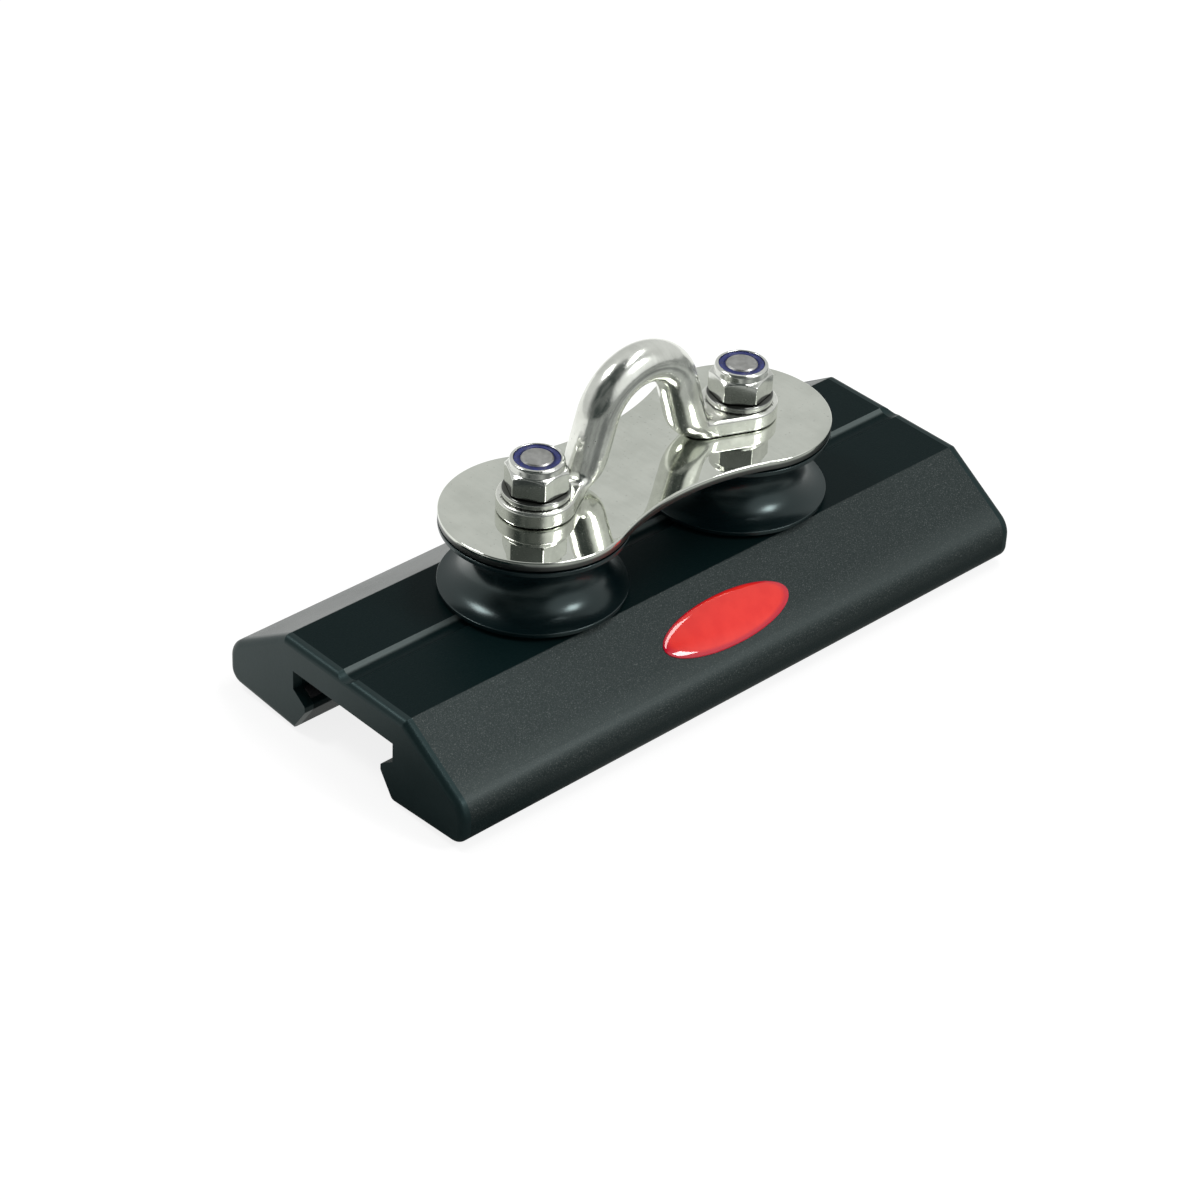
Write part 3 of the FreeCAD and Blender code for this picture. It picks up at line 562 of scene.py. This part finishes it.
def bow_rule(spot):
    """Distance in mm from the skin of the bow, less than 0 inside."""
    x, y, z = spot[..., 0], spot[..., 1], spot[..., 2]
    side = np.where(x > ARCH_X, 1.0, -1.0)
    out = np.abs(x - ARCH_X)
    # The bar: a half ring, then straight down on both sides, its underside rounded on to the plate
    past = (z - LEG_TOP[1]) * math.cos(SPLAY) - (out - LEG_TOP[0]) * math.sin(SPLAY)
    ring = np.abs(np.hypot(out, z - CROWN_LEVEL) - CROWN_BEND)
    leg = np.abs((out - LEG_TOP[0]) * math.cos(SPLAY) + (z - LEG_TOP[1]) * math.sin(SPLAY))
    bar = np.hypot(np.where(past > 0.0, ring, leg), y) - BAR
    low = (z - LEG_LOW[1]) * math.cos(SPLAY) - (out - LEG_LOW[0]) * math.sin(SPLAY)
    heel = np.hypot(np.maximum(np.hypot(out - BEND_X, z - BEND_LEVEL) - FOOT_BEND, 0.0), y) - BAR
    bar = np.where(low < 0.0, np.maximum(bar, heel), bar)
    # The strap: flat, with eased edges, widening to the eye
    start = BEND_X + STRAP_START + ARCH_X * side
    along, length = side * x - start, BOLT_X - start
    lean = (BAR - PALM_RADIUS) / length
    rise = np.sqrt(1.0 - lean ** 2)
    share = along * rise - np.abs(y) * lean
    flank = np.abs(y) * rise + along * lean - BAR
    flank = np.where(share < 0.0, np.hypot(along, y) - BAR, flank)
    eye = np.hypot(np.abs(x) - BOLT_X, y)
    flank = np.where(share > rise * length, eye - PALM_RADIUS, flank)
    above = np.abs(z - (PALM_TOP + PLATE_TOP) / 2) - (PALM_TOP - PLATE_TOP) / 2
    strap = rounded(flank + STRAP_EDGE, above + STRAP_EDGE) - STRAP_EDGE
    # Both together, flat on the plate, with a level seat for the washer and the hole for the bolt
    whole = merge(bar, strap, 2.2)
    whole = common(whole, PLATE_TOP - z, 0.3)
    whole = common(whole, np.minimum(EYE_SEAT - eye, z - PALM_TOP), 0.1)
    return np.maximum(whole, BOLT_HOLE - eye)


def cast_piece(name, rule, low, high, step, finish, body, node):
    """A piece with the skin where a distance rule crosses zero, its corners and normals set on that skin."""
    axes = [np.arange(start, stop + step, step) for start, stop in zip(low, high)]
    grid = np.stack(np.meshgrid(*axes, indexing="ij"), axis=-1)
    inside = rule(grid) < 0.0
    filled = np.zeros([len(axis) - 1 for axis in axes], int)
    for i in (0, 1):
        for j in (0, 1):
            for k in (0, 1):
                filled += inside[i:len(axes[0]) - 1 + i, j:len(axes[1]) - 1 + j, k:len(axes[2]) - 1 + k]
    cells = np.argwhere((filled > 0) & (filled < 8))
    number = np.full(filled.shape, -1)
    number[tuple(cells.T)] = np.arange(len(cells))
    corners = np.array(low) + (cells + 0.5) * step

    def lean(spots):
        probe = 0.02
        slopes = [rule(spots + probe * way) - rule(spots - probe * way) for way in np.eye(3)]
        slopes = np.stack(slopes, axis=-1) / (2 * probe)
        return slopes / np.maximum(np.linalg.norm(slopes, axis=-1, keepdims=True), 1e-6)

    for _ in range(5):
        pull = np.clip(rule(corners), -step, step)
        corners = corners - lean(corners) * pull[:, None] * 0.9
    quads = []
    for axis in range(3):
        first, second = (axis + 1) % 3, (axis + 2) % 3
        here = np.moveaxis(inside, (axis, first, second), (0, 1, 2))
        table = np.moveaxis(number, (axis, first, second), (0, 1, 2))
        for leaving in (True, False):
            i, j, k = np.nonzero((here[:-1] != here[1:]) & (here[:-1] == leaving))
            keep = (j > 0) & (k > 0) & (j < table.shape[1]) & (k < table.shape[2])
            i, j, k = i[keep], j[keep], k[keep]
            ring = [table[i, j - 1, k - 1], table[i, j, k - 1], table[i, j, k], table[i, j - 1, k]]
            quads.append(np.stack(ring if leaving else ring[::-1], axis=1))
    make_piece(name, corners, np.concatenate(quads), lean(corners), finish, body, node)


# Painted shade darkens the bow along the line where it stands on the plate.
bow_steel = polished_finish(
    "bow_steel", (0.68, 0.69, 0.645, 1.0), (0.88, 0.89, 0.84, 1.0), 0.17, 0.120, shaded_seams=(PLATE_TOP,)
)
cast_piece(
    "forged_bow", bow_rule, (-41.0, -9.2, 44.3), (41.0, 9.2, 75.6), 0.4, bow_steel,
    "car", "bow",
)


# ---- Washers: plain stamped rings of stainless sheet, one between each eye of the bow and its nut.
# They are polished together with the nuts.
WASHER_REACH, WASHER_TOP = 7.8, 50.6
# Painted shade darkens the nut steel below and above each washer, where the parts meet.
nut_steel = polished_finish(
    "nut_steel", (0.60, 0.61, 0.575, 1.0), (0.80, 0.81, 0.77, 1.0), 0.11, 0.030, shaded_seams=(PALM_TOP, WASHER_TOP)
)
for end, bolt_x in ENDS:
    ring = ease([
        (BOLT_HOLE, PALM_TOP, 0.2), (WASHER_REACH, PALM_TOP, 0.3),
        (WASHER_REACH, WASHER_TOP, 0.5), (BOLT_HOLE, WASHER_TOP, 0.2),
    ], 5)
    turn_piece(
        "stamped_washer_" + end, ring, bolt_x, nut_steel,
        "car", "nut_washer_" + end, segments=96,
    )


# ---- Lock nuts: M8, cold-formed, the corners turned to a cone above and below. The collar is rolled over
# the nylon ring that grips the thread.
HEX_TOP, NUT_TOP, NUT_HALF = 56.1, 58.2, 6.5
COLLAR, COLLAR_EDGE, INSERT, INSERT_DEPTH, THREAD = 6.25, 0.75, 5.33, 2.2, 4.03
CONE_OUT, CONE_UP = 0.60, 0.80


def nut_rule(bolt_x, turn):
    """Distance in mm from the skin of the nut on one bolt, turned by this angle."""
    def rule(spot):
        x, y, z = spot[..., 0] - bolt_x, spot[..., 1], spot[..., 2]
        out = np.hypot(x, y)
        sides = []
        for corner in (30, 90, 150):
            facing = turn + math.radians(corner)
            sides.append(np.abs(x * math.cos(facing) + y * math.sin(facing)) - NUT_HALF)
        hexagon = common(common(sides[0], sides[1], 0.22), sides[2], 0.22)
        flat = np.abs(z - (WASHER_TOP + HEX_TOP) / 2) - (HEX_TOP - WASHER_TOP) / 2
        cone = (out - NUT_HALF) * CONE_OUT + (z - HEX_TOP) * CONE_UP
        under = (out - NUT_HALF - 0.25) * CONE_OUT + (WASHER_TOP - z) * CONE_UP
        hexagon = common(common(hexagon, np.maximum(cone, under), 0.10), flat, 0.12)
        collar = rounded(out - COLLAR + COLLAR_EDGE, z - NUT_TOP + COLLAR_EDGE)
        collar = np.maximum(collar - COLLAR_EDGE, HEX_TOP - 1.0 - z)
        whole = merge(hexagon, collar, 0.3)
        seat = np.maximum(out - INSERT, NUT_TOP - INSERT_DEPTH - z)
        return common(whole, -np.minimum(seat, out - THREAD), 0.10)

    return rule


for (end, bolt_x), turn in zip(ENDS, (math.radians(2.4), math.radians(15.0))):
    cast_piece(
        "formed_nut_" + end, nut_rule(bolt_x, turn), (bolt_x - 8.0, -8.0, WASHER_TOP - 0.5),
        (bolt_x + 8.0, 8.0, NUT_TOP + 0.5), 0.2, nut_steel,
        "car", "lock_nut_" + end,
    )


# ---- Nylon rings: dark blue nylon, pressed into the collar of each nut.
# The bolt cuts its own thread in them, and their top leans in over its tip.
RING_BORE, RING_REACH, RING_LOW, RING_TOP = 4.05, 5.3, 56.0, 57.9
LIP_BORE, LIP_TOP, LIP_LOW = 3.76, 58.0, 57.71
nylon = new_finish("blue_nylon")
grain = nylon.mottle(1600.0, 3.0)
nylon.cover(nylon.shader({
    "Base Color": grain.between(0.3, 0.7).blend((0.006, 0.010, 0.085, 1.0), (0.016, 0.026, 0.17, 1.0)),
    "Roughness": 0.34 + grain * 0.15, "Normal": nylon.relief(grain, 0.00003, 0.5),
}))
for end, bolt_x in ENDS:
    ring = ease([
        (RING_BORE, RING_LOW, 0.1), (RING_REACH, RING_LOW, 0.1), (RING_REACH, RING_TOP, 0.25),
        (LIP_BORE, LIP_TOP, 0.0), (RING_BORE, LIP_LOW, 0.0),
    ], 4)
    turn_piece(
        "pressed_ring_" + end, ring, bolt_x, nylon,
        "car", "nut_insert_" + end, segments=96,
    )


# ---- Badge: an oval of clear cast resin, domed by its own surface over a red print, stuck to the near slope.
# Its face is left bare.
BADGE_LONG, BADGE_WIDE, BADGE_HIGH, BADGE_RIM = 19.2, 6.2, 1.3, 0.16
DOME_FULLNESS, DOME_SPRING = 2.1, 0.60
SLOPE = math.atan2(12.7, 19.7)
BADGE_FOOT = Vector((0.0, -20.3 - 12.3 * math.cos(SLOPE), 23.8 - 12.3 * math.sin(SLOPE)))
resin = new_finish("red_resin")
from_foot = resin.vector("SUBTRACT", resin.place(), tuple(BADGE_FOOT * MM))
oval = (1 / (BADGE_LONG * MM), 1 / (BADGE_WIDE * math.cos(SLOPE) * MM), 0.0)
spread = resin.vector("LENGTH", resin.vector("MULTIPLY", from_foot, oval), output="Value")
print_grain = resin.mottle(300.0, 2.0)
red = print_grain.between(0.3, 0.7).blend((0.88, 0.020, 0.014, 1.0), (0.93, 0.028, 0.018, 1.0))
red = spread.between(0.86, 0.98).blend(red, (0.60, 0.004, 0.026, 1.0))
resin.cover(resin.shader({
    "Base Color": red, "Roughness": 0.30 + print_grain * 0.06, "Specular IOR Level": 0.0,
    "Coat Weight": 1.0, "Coat Roughness": 0.03, "Coat IOR": 1.62,
    "Normal": resin.relief(resin.mottle(60.0, 1.0), 0.0001, 0.4),
}))
shares = np.sin(np.linspace(0.0, math.pi / 2, 22))[1:]
angles = np.arange(120) * (2 * math.pi / 120)
corners, normals, faces = [], [], []
tilt = Matrix.Rotation(SLOPE, 3, "X")
swell = BADGE_HIGH - 0.01 - BADGE_RIM
for share in shares:
    left = 1.0 - share ** DOME_FULLNESS
    dome = BADGE_RIM + swell * left ** DOME_SPRING
    drop = DOME_SPRING * (left + 1e-4) ** (DOME_SPRING - 1)
    drop = drop * DOME_FULLNESS * share ** (DOME_FULLNESS - 1) * swell
    for angle in angles:
        cosine, sine = math.cos(angle), math.sin(angle)
        up = Vector((drop * cosine / BADGE_LONG, drop * sine / BADGE_WIDE, 1.0)).normalized()
        spot = Vector((BADGE_LONG * share * cosine, BADGE_WIDE * share * sine, dome))
        corners.append(tilt @ spot + BADGE_FOOT)
        normals.append(tilt @ up)
for angle in angles:
    cosine, sine = math.cos(angle), math.sin(angle)
    corners.append(tilt @ Vector((BADGE_LONG * cosine, BADGE_WIDE * sine, 0.0)) + BADGE_FOOT)
    normals.append(tilt @ Vector((cosine / BADGE_LONG, sine / BADGE_WIDE, 0.0)).normalized())
corners.append(tilt @ Vector((0.0, 0.0, BADGE_RIM + swell)) + BADGE_FOOT)
normals.append(tilt @ Vector((0.0, 0.0, 1.0)))
corners.append(Vector(BADGE_FOOT))
normals.append(tilt @ Vector((0.0, 0.0, -1.0)))
turns, rows = len(angles), len(shares) + 1
for step in range(turns):
    after = (step + 1) % turns
    faces.append((len(corners) - 2, step, after))
    for row in range(rows - 1):
        inner, outer = row * turns, (row + 1) * turns
        faces.append((inner + step, outer + step, outer + after, inner + after))
    faces.append((len(corners) - 1, (rows - 1) * turns + after, (rows - 1) * turns + step))
make_piece("domed_badge", corners, faces, normals, resin, "car", "badge")


# ---- Colours are shown as they are written.
bpy.context.scene.view_settings.view_transform = "Standard"
